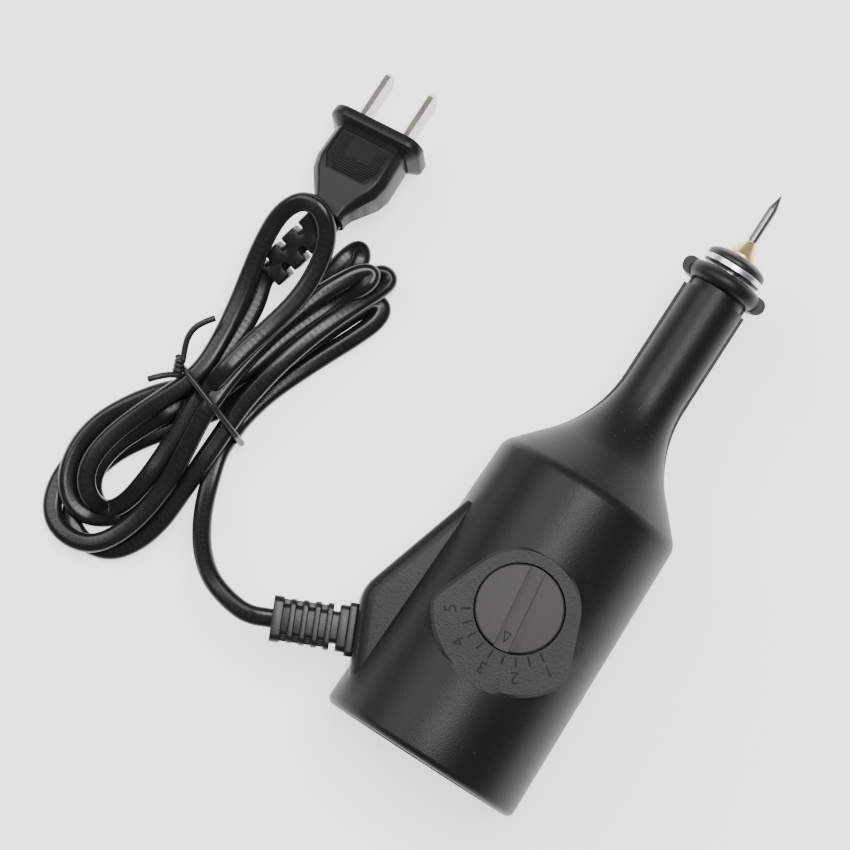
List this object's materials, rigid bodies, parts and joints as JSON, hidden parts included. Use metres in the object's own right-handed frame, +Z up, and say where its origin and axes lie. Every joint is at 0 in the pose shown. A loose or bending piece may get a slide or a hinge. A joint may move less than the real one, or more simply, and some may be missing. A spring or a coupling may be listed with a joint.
{
  "type": "electric engraver",
  "caption": "Hand-held vibrating electric engraver with a tapering black body, a stroke dial, a brass chuck nut, a side flex outlet and a tied flex with a flat-blade plug, lying dial up",
  "frame": {"origin": "centre of the tool's footprint on the surface it lies on, flex, tie, strain relief and plug left out", "axes": "X from the rear rim to the engraving tip, Y towards the flex outlet, Z up, through the dial"},
  "size_m": [0.1719, 0.1443, 0.0543],
  "materials": {
    "shell_black": "fine grained black moulded plastic",
    "knob_black": "slightly lighter satin black plastic",
    "flex_black": "glossy black flexible PVC",
    "relief_black": "satin black flexible PVC",
    "soft_black": "satin black rubber",
    "bright_steel": "bright turned steel",
    "screw_steel": "zinc plated steel",
    "tip_steel": "dull grey hardened tip",
    "blade_metal": "nickel plated brass blades",
    "nut_brass": "turned brass",
    "core_iron": "stacked iron sheets",
    "coil_copper": "lacquered copper wire",
    "bobbin_plastic": "natural nylon",
    "bush_plastic": "off-white acetal",
    "joint_plastic": "clear-white sleeve"
  },
  "bodies": {
    "housing": {"upper_shell": "shell_black", "lower_shell": "shell_black", "rear_plate": "shell_black", "housing_screws": "screw_steel", "stator_core": "core_iron", "core_screws": "screw_steel", "coil_bobbin": "bobbin_plastic", "coil_winding": "coil_copper", "coil_terminals": "screw_steel", "rear_guide": "bush_plastic", "rubber_buffer": "soft_black", "front_bush": "bush_plastic", "dial_washer": "soft_black", "lead_wires": "flex_black", "wire_joints": "joint_plastic", "strain_relief": "relief_black", "cord_lead": "flex_black", "cord_hank": "flex_black", "cord_tie": "soft_black", "plug_body": "relief_black", "plug_insert": "bobbin_plastic", "plug_blades": "blade_metal"},
    "dial": {"dial_knob": "knob_black", "dial_spindle": "bush_plastic", "dial_clip": "screw_steel"},
    "striker": {"armature": "core_iron", "drive_rod": "bright_steel", "stop_collar": "bright_steel", "spring_seat": "bright_steel", "return_spring": "bright_steel", "nose_washer": "bright_steel", "nose_boot": "soft_black", "collet": "bright_steel"},
    "nut": {"chuck_nut": "nut_brass"},
    "tip": {"engraving_tip": "tip_steel"}
  },
  "joints": [
    {"name": "dial_turn", "type": "hinge", "parent": "housing", "child": "dial", "pos_m": [-0.03906, -0.00354, 0.05006], "axis": [0.0254, 0, 0.9997], "range_deg": [-65, 50.2]},
    {"name": "stroke", "type": "slide", "parent": "housing", "child": "striker", "axis": [0.9997, 0, -0.0254], "range_m": [-0.0008, 0], "stiffness_N_per_m": 3000, "springref_m": 0.0015},
    {"name": "chuck_nut_turn", "type": "hinge", "parent": "striker", "child": "nut", "pos_m": [0.0663, -0.00354, 0.02338], "axis": [0.9997, 0, -0.0254], "range_deg": [0, 270]},
    {"name": "tip_pull", "type": "slide", "parent": "striker", "child": "tip", "axis": [0.9997, 0, -0.0254], "range_m": [0, 0.03]}
  ]
}
